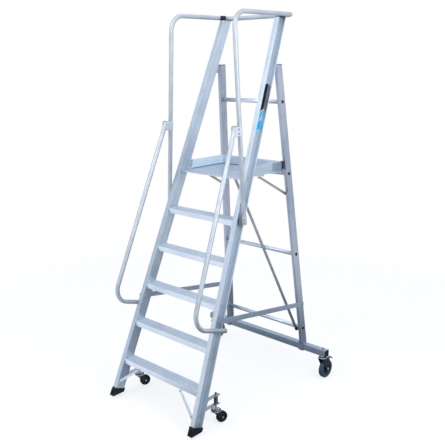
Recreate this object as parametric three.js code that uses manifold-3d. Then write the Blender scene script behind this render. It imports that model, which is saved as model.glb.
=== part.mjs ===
// Rolling warehouse ladder: five treads and a platform between raked channel stiles, tapered rear legs
// on an outrigger bar, tubular guardrail and handrails, sprung front casters and braked rear casters.
// Millimetres, +Z up. +X is the climber's right and the climber faces +Y.
// Heights in the dimensions below count from the soles of the front feet. The whole ladder is then
// lifted by FOOT_CLEARANCE, because unloaded it stands on its four casters.

import * as THREE from "three";
import { mergeVertices } from "three/addons/utils/BufferGeometryUtils.js";
import Module from "manifold-3d";

const wasm = await Module();
wasm.setup();

// Overall layout
const RISE = 283.3;
const TREAD_COUNT = 5;
const DECK_TOP = 1700;
const FOOT_CLEARANCE = 20;
const CENTRE_Y = 730;
const GAP = 0.35;

// Stiles: channels that open outwards, raked in Y and leaning inwards in X
const STILE_HALF_WIDTH = 451;
const STILE_TAPER = 0.057;
const STILE_RAKE = 0.399;
const STILE_DEPTH = 90.9;
const STILE_FLANGE = 38;
const STILE_WALL = 3;
const STILE_LIP = 9;
const STILE_TOP = 2826;

// Feet, cut level at the sole and square to the stile at the top
const FOOT_TOP_CUT = 70.6;
const FOOT_POCKET_CUT = 41.6;

// Treads and platform
const TREAD_DEPTH = 94.5;
const TREAD_HEIGHT = 42;
const TREAD_SKIN = 3;
const DECK_FRONT = 680;
const DECK_REAR = 1172;
const DECK_HALF_WIDTH = 314;
const DECK_THICKNESS = 12;
const TOE_HEIGHT = 69;
const TOE_THICKNESS = 25.5;
const TOE_REAR = 1165.3;

// Rear legs and the members between them
const LEG_TOP = 2486;
const LEG_TOP_X = 296.6;
const LEG_TAPER = 0.0543;
const LEG_TOP_Y = 1098;
const LEG_LEAN = 0.0959;
const LEG_WIDTH = 25;
const LEG_DEPTH = 65;
const LEG_WALL = 2.5;
const RUNG_HEIGHTS = [2217, 1670, 1015, 374];
const RUNG_RADIUS = 16;
const BAR_FRONT = 1324;
const BAR_DEPTH = 50;
const BAR_TOP = 238;
const BAR_HEIGHT = 52;
const BAR_HALF_LENGTH = 638;
const BAR_WALL = 3;

// Tubes of the guardrail and handrails, just outside the stiles
const TUBE_RADIUS = 16.5;
const TUBE_BORE = 14.3;
const TUBE_OFFSET = 17.1;
const POST_Y = 624;
const POST_BOTTOM = 1390;
const RAIL_Z = 2846;
const RAIL_REAR_Y = 1285;
const RAIL_FRONT_BEND = 110;
const RAIL_REAR_BEND = 60;
const HANDRAIL_SETBACK = 251;
const HANDRAIL_TOP = 2075;
const HANDRAIL_BEND = 120;

// Front casters: sprung stem in a bracket behind each stile
const STEM_Y = 271;
const STEM_X = 423;
const SPRING_TRAVEL = 20;
const FRONT_TRAIL = 46;
const FRONT_SWIVEL = (-18 * Math.PI) / 180;
const FRONT_WHEEL_RADIUS = 42;
const FRONT_WHEEL_HALF_WIDTH = 15;
const LOWER_ARM = 133;
const UPPER_ARM = 200;
const ARM_THICKNESS = 4;

// Rear casters under the ends of the bar
const KING_X = 603;
const KING_Y = 1349;
const REAR_TRAIL = 42;
const REAR_WHEEL_RADIUS = 75;
const REAR_WHEEL_HALF_WIDTH = 19;
const PEDAL_PIVOT = [56, 139];

// Materials
const METALS = {
  extrusion: { color: 0xc3c9d1, roughness: 0.42, metalness: 0.9 },
  tube: { color: 0xcdd2d8, roughness: 0.35, metalness: 0.9 },
  plated: { color: 0xb9bcc0, roughness: 0.3, metalness: 1 },
};
const PLASTICS = {
  black: { color: 0x17181a, roughness: 0.7, metalness: 0 },
  rubber: { color: 0x131416, roughness: 0.85, metalness: 0 },
  tyre: { color: 0x2b2f34, roughness: 0.8, metalness: 0 },
};
const FINISHES = { ...METALS, ...PLASTICS };

const outerX = (z) => STILE_HALF_WIDTH - STILE_TAPER * z;
const innerX = (z) => outerX(z) - STILE_FLANGE;
const frontY = (z) => STILE_RAKE * z;
const rearY = (z) => frontY(z) + STILE_DEPTH;
const legX = (z) => LEG_TOP_X + LEG_TAPER * (LEG_TOP - z);
const legInnerX = (z) => legX(z) - LEG_WIDTH;
const legY = (z) => LEG_TOP_Y + LEG_LEAN * (LEG_TOP - z);

const ladder = new THREE.Group();
ladder.position.set(0, -CENTRE_Y, FOOT_CLEARANCE);

function add(name, geometry, finish, parent = ladder) {
  const mesh = new THREE.Mesh(geometry, new THREE.MeshStandardMaterial(FINISHES[finish]));
  mesh.name = name;
  parent.add(mesh);
  return mesh;
}

// Adds the left and the right copy of a piece; make(side) gets -1 and 1.
function pair(name, finish, make) {
  add(`${name}_left`, make(-1), finish);
  add(`${name}_right`, make(1), finish);
}

// Turns every face outwards if the solid came out inside out.
function facingOut(geometry) {
  const solid = geometry.index ? geometry.toNonIndexed() : geometry;
  const array = solid.attributes.position.array;
  const [a, b, c] = [new THREE.Vector3(), new THREE.Vector3(), new THREE.Vector3()];
  let volume = 0;
  for (let i = 0; i < array.length; i += 9) {
    a.fromArray(array, i);
    b.fromArray(array, i + 3);
    c.fromArray(array, i + 6);
    volume += a.dot(b.cross(c));
  }
  if (volume < 0) {
    for (let i = 0; i < array.length; i += 9) {
      a.fromArray(array, i + 3);
      b.fromArray(array, i + 6);
      b.toArray(array, i + 3);
      a.toArray(array, i + 6);
    }
  }
  solid.computeVertexNormals();
  return solid;
}

function polygon(points, holes = []) {
  const shape = new THREE.Shape(points.map(([u, v]) => new THREE.Vector2(u, v)));
  shape.holes = holes.map((hole) => new THREE.Path(hole.map(([u, v]) => new THREE.Vector2(u, v))));
  return shape;
}

function circle(radius, sides, centre = [0, 0]) {
  return Array.from({ length: sides }, (_, i) => {
    const angle = (2 * Math.PI * i) / sides;
    return [centre[0] + radius * Math.cos(angle), centre[1] + radius * Math.sin(angle)];
  });
}

function rectangle(u0, u1, v0, v1) {
  return [[u0, v0], [u1, v0], [u1, v1], [u0, v1]];
}

// Extrudes a flat outline from t = 0 to t = 1 and moves each corner (u, v, t) to place(u, v, t).
function prism(points, place, holes = []) {
  const geometry = new THREE.ExtrudeGeometry(polygon(points, holes), { depth: 1, bevelEnabled: false });
  const position = geometry.attributes.position;
  for (let i = 0; i < position.count; i += 1) {
    position.setXYZ(i, ...place(position.getX(i), position.getY(i), position.getZ(i)));
  }
  geometry.deleteAttribute("uv");
  return facingOut(geometry);
}

function box(x, y, z) {
  const geometry = new THREE.BoxGeometry(x[1] - x[0], y[1] - y[0], z[1] - z[0]);
  geometry.translate((x[0] + x[1]) / 2, (y[0] + y[1]) / 2, (z[0] + z[1]) / 2);
  geometry.deleteAttribute("uv");
  return geometry;
}

function toSolid(geometry) {
  const bare = geometry.clone();
  bare.deleteAttribute("normal");
  bare.deleteAttribute("uv");
  const merged = mergeVertices(bare, 1e-4);
  return new wasm.Manifold(new wasm.Mesh({
    numProp: 3,
    vertProperties: new Float32Array(merged.attributes.position.array),
    triVerts: new Uint32Array(merged.index.array),
  }));
}

function toGeometry(solid) {
  const mesh = solid.getMesh();
  const geometry = new THREE.BufferGeometry();
  geometry.setAttribute("position", new THREE.BufferAttribute(mesh.vertProperties, 3));
  geometry.setIndex(new THREE.BufferAttribute(mesh.triVerts, 1));
  return facingOut(geometry);
}

const joined = (first, ...others) => toGeometry(
  others.reduce((solid, other) => solid.add(toSolid(other)), toSolid(first)),
);
const drilled = (first, ...others) => toGeometry(
  others.reduce((solid, other) => solid.subtract(toSolid(other)), toSolid(first)),
);

// Round solid from (radius, height) pairs, turned about the Z axis.
function turned(profile, sides) {
  const geometry = new THREE.LatheGeometry(profile.map(([r, h]) => new THREE.Vector2(r, h)), sides);
  geometry.rotateX(Math.PI / 2);
  geometry.deleteAttribute("uv");
  return facingOut(geometry);
}

// The same, turned about an axis along X through (y, z), with its middle at x.
function turnedAcross(profile, sides, x, y, z) {
  const geometry = new THREE.LatheGeometry(profile.map(([r, h]) => new THREE.Vector2(r, h)), sides);
  geometry.rotateZ(-Math.PI / 2);
  geometry.translate(x, y, z);
  geometry.deleteAttribute("uv");
  return facingOut(geometry);
}

// A path given by its own sample points, so that straight runs need no samples between their ends.
class KnotPath extends THREE.Curve {
  constructor(knots) {
    super();
    this.knots = knots;
  }

  getPointAt(u) {
    return this.knots[Math.round(u * (this.knots.length - 1))].clone();
  }

  getTangentAt(u) {
    const last = this.knots.length - 1;
    const i = Math.round(u * last);
    const before = this.knots[Math.max(i, 1)].clone().sub(this.knots[Math.max(i, 1) - 1]).normalize();
    const after = this.knots[Math.min(i, last - 1) + 1].clone().sub(this.knots[Math.min(i, last - 1)]);
    return before.add(after.normalize()).normalize();
  }
}

// Rounds the inner corners of a polyline; radii[i] belongs to corner i + 1.
function roundedPath(corners, radii, steps) {
  const knots = [corners[0]];
  for (let i = 1; i < corners.length - 1; i += 1) {
    const towards = corners[i].clone().sub(corners[i - 1]).normalize();
    const away = corners[i + 1].clone().sub(corners[i]).normalize();
    const turn = towards.angleTo(away);
    const run = radii[i - 1] * Math.tan(turn / 2);
    const start = corners[i].clone().addScaledVector(towards, -run);
    const axis = towards.clone().cross(away).normalize();
    const inwards = axis.clone().cross(towards);
    const centre = start.clone().addScaledVector(inwards, radii[i - 1]);
    for (let k = 0; k <= steps; k += 1) {
      const arm = start.clone().sub(centre).applyAxisAngle(axis, (turn * k) / steps);
      knots.push(centre.clone().add(arm));
    }
  }
  knots.push(corners[corners.length - 1]);
  return new KnotPath(knots);
}

function bentTube(path) {
  const geometry = new THREE.ExtrudeGeometry(
    polygon(circle(TUBE_RADIUS, 16), [circle(TUBE_BORE, 16)]),
    { steps: path.knots.length - 1, extrudePath: path },
  );
  geometry.deleteAttribute("uv");
  return facingOut(geometry);
}

// ---- Stiles, feet and caps -------------------------------------------------------------------

function stile(side) {
  const wall = STILE_WALL * 1.077;
  const profile = [
    [0, 0], [STILE_FLANGE, 0], [STILE_FLANGE, STILE_DEPTH], [0, STILE_DEPTH],
    [0, STILE_DEPTH - STILE_LIP], [2.5, STILE_DEPTH - STILE_LIP], [2.5, STILE_DEPTH - wall],
    [STILE_FLANGE - STILE_WALL, STILE_DEPTH - wall], [STILE_FLANGE - STILE_WALL, wall],
    [2.5, wall], [2.5, STILE_LIP], [0, STILE_LIP],
  ];
  return prism(profile, (u, v, t) => {
    const low = cutHeight(v, FOOT_POCKET_CUT + 0.4);
    const z = low + (STILE_TOP - low) * t;
    return [side * (outerX(z) - u), frontY(z) + v, z];
  });
}

// Height at which a plane square to the rake meets the line v behind the stile's front face.
function cutHeight(v, cut) {
  return (cut - STILE_RAKE * v) / (1 + STILE_RAKE * STILE_RAKE);
}

function foot(side) {
  const outline = [[-6, 0], [98, 0], [99, 1.5], [112, 25.9], [18, 63.4], [-9, 3]];
  const body = prism(outline, (y, z, t) => [side * (outerX(z) + 2 - 42 * t), y, z]);
  const pocket = prism(rectangle(-0.4, STILE_FLANGE + 0.4, -0.4, STILE_DEPTH + 0.4), (u, v, t) => {
    const z = cutHeight(v, FOOT_POCKET_CUT) + 60 * t;
    return [side * (outerX(z) - u), frontY(z) + v, z];
  });
  return drilled(body, pocket);
}

// Moulded top cap with a tab that grips the inner side of the rail.
function stileCap(side) {
  const outside = outerX(STILE_TOP) - 1.2;
  const y = frontY(STILE_TOP);
  const plate = box([outside - 37, outside], [y, y + STILE_DEPTH], [STILE_TOP + GAP, STILE_TOP + 4.5]);
  const tab = box([outside - 4.2, outside], [y + 6, y + 62], [STILE_TOP + 1, STILE_TOP + 37]);
  const cap = joined(plate, tab);
  cap.scale(side, 1, 1);
  return facingOut(cap);
}

pair("stile", "extrusion", stile);
pair("foot", "rubber", foot);
pair("stile_cap", "black", stileCap);

// ---- Treads and platform ---------------------------------------------------------------------

// Row of shallow grip grooves along the top of an extrusion, as outline points.
function grooves(from, count, pitch) {
  const points = [];
  for (let i = 0; i < count; i += 1) {
    const y = from + pitch * i;
    points.push([y, 0], [y + 0.8, -1.4], [y + 3.2, -1.4], [y + 4, 0]);
  }
  return points;
}

function tread(index) {
  const top = RISE * index;
  const front = frontY(top) - 1.5;
  const s = TREAD_SKIN;
  const outline = [
    [0, -TREAD_HEIGHT], [0, -3], [2, -0.6], [5, 0],
    ...grooves(10, 9, 9),
    [TREAD_DEPTH - 2, 0], [TREAD_DEPTH, -2], [TREAD_DEPTH, -29], [TREAD_DEPTH - 11, -29],
    [TREAD_DEPTH - 11, -29 + s], [TREAD_DEPTH - s, -29 + s], [TREAD_DEPTH - s, -4.2], [s, -4.2],
    [s, s - TREAD_HEIGHT], [13, s - TREAD_HEIGHT], [13, -TREAD_HEIGHT],
  ];
  return prism(outline, (y, z, t) => {
    const reach = innerX(top + z) - GAP;
    return [reach * (2 * t - 1), front + y, top + z];
  });
}

for (let i = 1; i <= TREAD_COUNT; i += 1) {
  add(`tread_${i}`, tread(i), "extrusion");
}

// Flat stay from the front edge of the lowest tread down to the stile.
function treadBrace(side) {
  const top = RISE - TREAD_HEIGHT - GAP;
  const low = 100;
  const foot = (z) => innerX(z) - GAP;
  const outline = [[220, top], [246, top], [foot(low + 18), low + 18], [foot(low - 10), low - 10]];
  return prism(outline, (x, z, t) => [side * x, frontY(z) + 6 + 4 * t, z]);
}

pair("tread_brace", "extrusion", treadBrace);

function platformDeck() {
  const depth = DECK_REAR - DECK_FRONT;
  const thick = DECK_THICKNESS;
  const ribs = [390, 255, 90].flatMap((y) => [
    [y + 4, -5], [y + 4, -20], [y, -20], [y, -5],
  ]);
  const outline = [
    [0, -thick], [0, -4], [2, -1], [6, 0],
    ...grooves(14, 23, 20),
    [depth, 0], [depth, -thick], [depth - 5, -thick], [depth - 5, -5],
    ...ribs,
    [5, -5], [5, -thick],
  ];
  return prism(outline, (y, z, t) => [
    DECK_HALF_WIDTH * (2 * t - 1), DECK_FRONT + y, DECK_TOP + z,
  ]);
}

add("platform_deck", platformDeck(), "extrusion");

function toeBoardSide(side) {
  const section = rectangle(DECK_HALF_WIDTH - 0.5 - TOE_THICKNESS, DECK_HALF_WIDTH - 0.5, GAP, TOE_HEIGHT);
  const hollow = rectangle(DECK_HALF_WIDTH + 1.5 - TOE_THICKNESS, DECK_HALF_WIDTH - 2.5, 2.4, TOE_HEIGHT - 2);
  return prism(section, (x, h, t) => {
    const z = DECK_TOP + h;
    const start = rearY(z) + 1;
    return [side * x, start + (TOE_REAR - start) * t, z];
  }, [hollow]);
}

function toeBoardRear() {
  const section = rectangle(TOE_REAR - TOE_THICKNESS, TOE_REAR, GAP, TOE_HEIGHT);
  const hollow = rectangle(TOE_REAR - TOE_THICKNESS + 2, TOE_REAR - 2, 2.4, TOE_HEIGHT - 2);
  const reach = DECK_HALF_WIDTH - 0.5 - TOE_THICKNESS - GAP;
  return prism(section, (y, h, t) => [reach * (2 * t - 1), y, DECK_TOP + h], [hollow]);
}

pair("toe_board", "extrusion", toeBoardSide);
add("toe_board_rear", toeBoardRear(), "extrusion");

// Strut from under the platform's edge down to the inner face of the rear leg.
function kneeBrace(side) {
  const top = DECK_TOP - DECK_THICKNESS - GAP;
  const outline = [[862, top], [897, top], [1232, 1503], [1221, 1484.7]];
  return prism(outline, (y, z, t) => {
    const x = 306 + ((top - z) / 200) * 15.5 + 4 * t;
    return [side * x, y, z];
  });
}

pair("knee_brace", "extrusion", kneeBrace);

// ---- Rear frame ------------------------------------------------------------------------------

// Rectangular tube with a bracket to the stile at the top and two cheeks that straddle the bar.
function rearLeg(side) {
  const low = BAR_TOP + GAP;
  const tube = prism(
    rectangle(0, LEG_WIDTH, 0, LEG_DEPTH),
    (u, v, t) => {
      const z = low + (LEG_TOP - low) * t;
      return [side * (legX(z) - u), legY(z) + v, z];
    },
    [rectangle(LEG_WALL, LEG_WIDTH - LEG_WALL, LEG_WALL, LEG_DEPTH - LEG_WALL)],
  );
  const bracketLow = LEG_TOP - 58;
  const bracketHigh = LEG_TOP - 8;
  const bracket = prism(rectangle(0, 1, bracketLow, bracketHigh), (u, z, t) => {
    const near = rearY(z) + GAP;
    return [side * (legX(z) - 3 - (LEG_WIDTH - 6) * t), near + (legY(z) + 1.5 - near) * u, z];
  });
  const middle = legX(low) - LEG_WIDTH / 2;
  const cheek = (half, y) => {
    const plate = box([middle - half, middle + half], y, [BAR_TOP - BAR_HEIGHT - 4, BAR_TOP + 20]);
    plate.scale(side, 1, 1);
    return facingOut(plate);
  };
  return joined(
    tube, bracket,
    cheek(23, [BAR_FRONT - 9, BAR_FRONT - GAP]),
    cheek(LEG_WIDTH / 2 - 1, [BAR_FRONT + BAR_DEPTH + GAP, BAR_FRONT + BAR_DEPTH + 4.2]),
  );
}

pair("rear_leg", "extrusion", rearLeg);

function rearRung(height) {
  const y = legY(height) + LEG_DEPTH / 2;
  return prism(
    circle(RUNG_RADIUS, 16),
    (u, v, t) => {
      const reach = legInnerX(height + v) - GAP;
      return [reach * (2 * t - 1), y + u, height + v];
    },
    [circle(RUNG_RADIUS - 2, 16)],
  );
}

RUNG_HEIGHTS.forEach((height, i) => add(`rear_rung_${i + 1}`, rearRung(height), "tube"));

// Flat diagonal across the front of the rungs, from the left end of the second to the right end
// of the lowest.
function diagonalBrace() {
  const outline = [[-271.7, 1678.6], [-246.3, 1690.4], [372.7, 357.9], [347.3, 346.1]];
  const front = LEG_DEPTH / 2 - RUNG_RADIUS;
  return prism(outline, (x, z, t) => [x, legY(z) + front - 0.6 - 5 * t, z]);
}

add("diagonal_brace", diagonalBrace(), "extrusion");

// Flat bar along the outer faces of the stile and the rear leg.
function sideBrace(side) {
  const middle = (y) => 720.5 - 0.155 * (y - 454);
  const ends = [300, 1345];
  const outline = [
    [ends[0], middle(ends[0]) - 12], [ends[0] + 8, middle(ends[0] + 8) - 20],
    [ends[1] - 8, middle(ends[1] - 8) - 20], [ends[1], middle(ends[1]) - 12],
    [ends[1], middle(ends[1]) + 12], [ends[1] - 8, middle(ends[1] - 8) + 20],
    [ends[0] + 8, middle(ends[0] + 8) + 20], [ends[0], middle(ends[0]) + 12],
  ];
  return prism(outline, (y, z, t) => {
    const x = 411.4 - (y - 300) * 0.00933 + 4 * t;
    return [side * x, y, z];
  });
}

pair("side_brace", "extrusion", sideBrace);

const BAR_Y = [BAR_FRONT, BAR_FRONT + BAR_DEPTH];
const BAR_Z = [BAR_TOP - BAR_HEIGHT, BAR_TOP];

function baseBar() {
  const w = BAR_WALL;
  return prism(
    rectangle(...BAR_Y, ...BAR_Z),
    (y, z, t) => [BAR_HALF_LENGTH * (2 * t - 1), y, z],
    [rectangle(BAR_Y[0] + w, BAR_Y[1] - w, BAR_Z[0] + w, BAR_Z[1] - w)],
  );
}

function baseBarCap(side) {
  const plate = box([BAR_HALF_LENGTH + GAP, BAR_HALF_LENGTH + 5], BAR_Y, BAR_Z);
  const inset = BAR_WALL + 0.5;
  const plug = box(
    [BAR_HALF_LENGTH - 12, BAR_HALF_LENGTH + 1],
    [BAR_Y[0] + inset, BAR_Y[1] - inset],
    [BAR_Z[0] + inset, BAR_Z[1] - inset],
  );
  const cap = joined(plate, plug);
  cap.scale(side, 1, 1);
  return facingOut(cap);
}

add("base_bar", baseBar(), "extrusion");
pair("base_bar_cap", "black", baseBarCap);

// ---- Guardrail and handrails -----------------------------------------------------------------

function guardrail() {
  const top = outerX(RAIL_Z) + TUBE_OFFSET;
  const bottom = outerX(POST_BOTTOM) + TUBE_OFFSET;
  const corners = [
    new THREE.Vector3(-bottom, POST_Y, POST_BOTTOM),
    new THREE.Vector3(-top, POST_Y, RAIL_Z),
    new THREE.Vector3(-top, RAIL_REAR_Y, RAIL_Z),
    new THREE.Vector3(top, RAIL_REAR_Y, RAIL_Z),
    new THREE.Vector3(top, POST_Y, RAIL_Z),
    new THREE.Vector3(bottom, POST_Y, POST_BOTTOM),
  ];
  const radii = [RAIL_FRONT_BEND, RAIL_REAR_BEND, RAIL_REAR_BEND, RAIL_FRONT_BEND];
  return bentTube(roundedPath(corners, radii, 6));
}

add("guardrail", guardrail(), "tube");

function handrail(side) {
  const at = (y, z) => new THREE.Vector3(side * (outerX(z) + TUBE_OFFSET), y, z);
  const slope = (z) => frontY(z) - HANDRAIL_SETBACK;
  const corners = [at(slope(HANDRAIL_TOP), HANDRAIL_TOP), at(53.6, 763.4), at(371, 665)];
  return bentTube(roundedPath(corners, [HANDRAIL_BEND], 8));
}

pair("handrail", "tube", handrail);

// I-shaped clamp that joins the top of the handrail to the guardrail's post.
function handrailClamp(side) {
  const outline = [
    [558, -4], [633, -4], [633, 0], [606.3, 0], [606.3, 34.2], [633, 34.2],
    [633, 38.5], [558, 38.5], [558, 34.2], [598.8, 34.2], [598.8, 0], [558, 0],
  ];
  return prism(outline, (y, s, t) => {
    const z = 2012 + 66 * t;
    return [side * (outerX(z) + s), y, z];
  });
}

pair("handrail_clamp", "plated", handrailClamp);

// Saddle that holds the lower end of the guardrail's post against the stile.
function postSaddle(side) {
  const arc = (radius, from, to, steps) => Array.from({ length: steps + 1 }, (_, i) => {
    const angle = from + ((to - from) * i) / steps;
    return [radius * Math.sin(angle), TUBE_OFFSET - radius * Math.cos(angle)];
  });
  const ease = Math.acos((TUBE_OFFSET - 0.5) / 17.3);
  const outline = [
    [-31, 0.5], [-31, 3.6], [-15.5, 3.6],
    ...arc(20.6, -0.85, -(2 * Math.PI - 0.85), 14),
    [15.5, 3.6], [31, 3.6], [31, 0.5],
    ...arc(17.3, ease, 2 * Math.PI - ease, 18),
  ];
  return prism(outline, (y, s, t) => {
    const z = 1386 + 64 * t;
    return [side * (outerX(z) + s), POST_Y + y, z];
  });
}

pair("post_saddle", "plated", postSaddle);

// ---- Front casters ---------------------------------------------------------------------------

function casterBracket(side) {
  const near = (z) => rearY(z) + GAP;
  const arm = ARM_THICKNESS;
  const outline = [
    [near(120), 120], [near(120) + 4.3, 120], [near(LOWER_ARM) + 4.3, LOWER_ARM],
    [298, LOWER_ARM], [298, LOWER_ARM + arm], [near(LOWER_ARM + arm) + 4.3, LOWER_ARM + arm],
    [near(UPPER_ARM) + 4.3, UPPER_ARM], [302, UPPER_ARM], [302, UPPER_ARM + arm],
    [near(UPPER_ARM + arm) + 4.3, UPPER_ARM + arm], [near(222) + 4.3, 222], [near(222), 222],
  ];
  const plate = prism(outline, (y, z, t) => [side * (STEM_X - 17 + 34 * t), y, z]);
  const hole = turned([[0, 90], [7, 90], [7, 260], [0, 260]], 20);
  hole.translate(side * STEM_X, STEM_Y, 0);
  return drilled(plate, hole);
}

// The pieces below are built round their own stem or king pin, trailing towards +Y.

function casterStem() {
  const collar = LOWER_ARM + ARM_THICKNESS + 0.4;
  const nut = UPPER_ARM + ARM_THICKNESS + 0.4;
  const profile = [
    [0, 90], [26, 90], [26, 97], [6, 97], [6, collar], [16, collar], [16, collar + 5],
    [6, collar + 5], [6, nut], [10.5, nut], [10.5, nut + 9], [6, nut + 9], [6, nut + 20], [0, nut + 20],
  ];
  return turned(profile, 20);
}

function casterSpring() {
  const low = LOWER_ARM + ARM_THICKNESS + 5.8;
  const high = UPPER_ARM - 0.4;
  return turned([[9, low], [15.5, low], [15.5, high], [9, high], [9, low]], 20);
}

// Swivel head with two arms down to the axle.
function casterFork({ head, headRadius, gap, wall, axle, axleRadius, trail, reach, rear, holes }) {
  const disc = turned([[0, head[0]], [headRadius, head[0]], [headRadius, head[1]], [0, head[1]]], 24);
  const outline = [
    [-reach, head[0] + 1.5], [-reach, head[0] - 8], [trail - 12, axle - 8], [trail - 7, axle - 12],
    [trail + 7, axle - 12], [trail + 12, axle - 7], ...rear, [reach, head[0] + 1.5],
  ];
  const bores = [circle(axleRadius, 12, [trail, axle]), ...holes];
  const arm = (from) => prism(outline, (y, z, t) => [from + wall * t, y, z], bores);
  return joined(disc, arm(gap), arm(-gap - wall));
}

function frontFork() {
  return casterFork({
    head: [80, 89.6],
    headRadius: 36,
    gap: 17.2,
    wall: 3,
    axle: FRONT_WHEEL_RADIUS - FOOT_CLEARANCE,
    axleRadius: 4.5,
    trail: FRONT_TRAIL,
    reach: 22,
    rear: [[FRONT_TRAIL + 9, 44]],
    holes: [],
  });
}

function frontWheel() {
  const r = FRONT_WHEEL_RADIUS;
  const w = FRONT_WHEEL_HALF_WIDTH;
  const profile = [
    [4.4, -16.8], [11, -16.8], [13, -11], [27, -11], [29, -w], [r - 5, -w], [r, -w + 6],
    [r, w - 6], [r - 5, w], [29, w], [27, 11], [13, 11], [11, 16.8], [4.4, 16.8], [4.4, -16.8],
  ];
  return turnedAcross(profile, 28, 0, FRONT_TRAIL, r - FOOT_CLEARANCE);
}

function axlePin(radius, face, headRadius, y, z) {
  const profile = [
    [0, -face - 5], [headRadius, -face - 5], [headRadius, -face], [radius, -face],
    [radius, face], [headRadius, face], [headRadius, face + 5], [0, face + 5],
  ];
  return turnedAcross(profile, 12, 0, y, z);
}

pair("caster_bracket", "plated", casterBracket);

function frontCaster(side, label) {
  const caster = new THREE.Group();
  caster.position.set(side * STEM_X, STEM_Y, 0);
  caster.rotation.z = FRONT_SWIVEL;
  ladder.add(caster);
  const axle = axlePin(4, 20.6, 7, FRONT_TRAIL, FRONT_WHEEL_RADIUS - FOOT_CLEARANCE);
  add(`caster_stem_${label}`, casterStem(), "plated", caster);
  add(`caster_spring_${label}`, casterSpring(), "black", caster);
  add(`front_fork_${label}`, frontFork(), "plated", caster);
  add(`front_wheel_${label}`, frontWheel(), "rubber", caster);
  add(`front_axle_${label}`, axle, "plated", caster);
}

frontCaster(-1, "left");
frontCaster(1, "right");

// ---- Rear casters ----------------------------------------------------------------------------

function swivelPlate() {
  const top = BAR_TOP - BAR_HEIGHT - GAP;
  const profile = [[0, top - 13], [22, top - 13], [22, top - 6], [25, top - 6], [25, top], [0, top]];
  return turned(profile, 24);
}

function rearFork() {
  const [py, pz] = PEDAL_PIVOT;
  return casterFork({
    head: [163, 172],
    headRadius: 31,
    gap: 21.4,
    wall: 4,
    axle: REAR_WHEEL_RADIUS - FOOT_CLEARANCE,
    axleRadius: 6.5,
    trail: REAR_TRAIL,
    reach: 29,
    rear: [[py + 9, pz - 8], [py + 9, pz + 8], [py - 6, pz + 12]],
    holes: [circle(4.5, 12, [py, pz])],
  });
}

function rearWheel() {
  const r = REAR_WHEEL_RADIUS;
  const w = REAR_WHEEL_HALF_WIDTH;
  const profile = [
    [6.4, -20.8], [15, -20.8], [17, -12], [50, -12], [54, -w + 1], [r - 9, -w], [r - 2, -w + 6],
    [r, 0], [r - 2, w - 6], [r - 9, w], [54, w - 1], [50, 12], [17, 12], [15, 20.8], [6.4, 20.8],
    [6.4, -20.8],
  ];
  return turnedAcross(profile, 36, 0, REAR_TRAIL, r - FOOT_CLEARANCE);
}

// Foot lever of the brake: a bent plate on a cross pin between the fork's arms.
function brakePedal() {
  const [py, pz] = PEDAL_PIVOT;
  const outline = [
    [py - 8, pz - 4], [py + 2, pz - 5], [py + 20, pz + 8], [py + 61, pz - 19], [py + 64, pz - 13],
    [py + 24, pz + 16], [py + 12, pz + 15], [py - 8, pz + 6],
  ];
  const plate = prism(outline, (y, z, t) => [-19 + 38 * t, y, z]);
  const pin = turnedAcross([[0, -25], [4, -25], [4, 25], [0, 25]], 12, 0, py, pz);
  return joined(plate, pin);
}

function rearCaster(side, label) {
  const caster = new THREE.Group();
  caster.position.set(side * KING_X, KING_Y, 0);
  ladder.add(caster);
  const axle = axlePin(6, 25.8, 10, REAR_TRAIL, REAR_WHEEL_RADIUS - FOOT_CLEARANCE);
  add(`swivel_plate_${label}`, swivelPlate(), "plated", caster);
  add(`rear_fork_${label}`, rearFork(), "plated", caster);
  add(`rear_wheel_${label}`, rearWheel(), "tyre", caster);
  add(`rear_axle_${label}`, axle, "plated", caster);
  add(`brake_pedal_${label}`, brakePedal(), "black", caster);
}

rearCaster(-1, "left");
rearCaster(1, "right");

export default ladder;
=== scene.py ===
"""Looks of the rolling warehouse ladder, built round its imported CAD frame."""

import math
import bmesh
import bpy
from mathutils import Matrix, Vector


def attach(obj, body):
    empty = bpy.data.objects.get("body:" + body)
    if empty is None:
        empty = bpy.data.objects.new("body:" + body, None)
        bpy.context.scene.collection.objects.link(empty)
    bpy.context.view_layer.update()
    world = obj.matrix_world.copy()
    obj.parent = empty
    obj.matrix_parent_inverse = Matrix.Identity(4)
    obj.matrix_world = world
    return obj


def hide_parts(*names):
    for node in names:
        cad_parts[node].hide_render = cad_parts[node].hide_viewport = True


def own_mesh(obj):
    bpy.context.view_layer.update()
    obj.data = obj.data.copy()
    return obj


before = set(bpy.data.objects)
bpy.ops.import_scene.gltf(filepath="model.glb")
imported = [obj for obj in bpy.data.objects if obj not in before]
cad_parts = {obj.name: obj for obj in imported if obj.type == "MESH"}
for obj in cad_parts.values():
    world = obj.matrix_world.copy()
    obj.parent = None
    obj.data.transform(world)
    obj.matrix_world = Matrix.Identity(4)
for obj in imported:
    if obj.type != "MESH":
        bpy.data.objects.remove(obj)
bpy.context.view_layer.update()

SIDES = {"left": -1, "right": 1}
Z_AXIS = Vector((0, 0, 1))
FORWARD = (0, -1, 0)
HEX = 6
QUARTER = math.pi / 2

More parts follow.
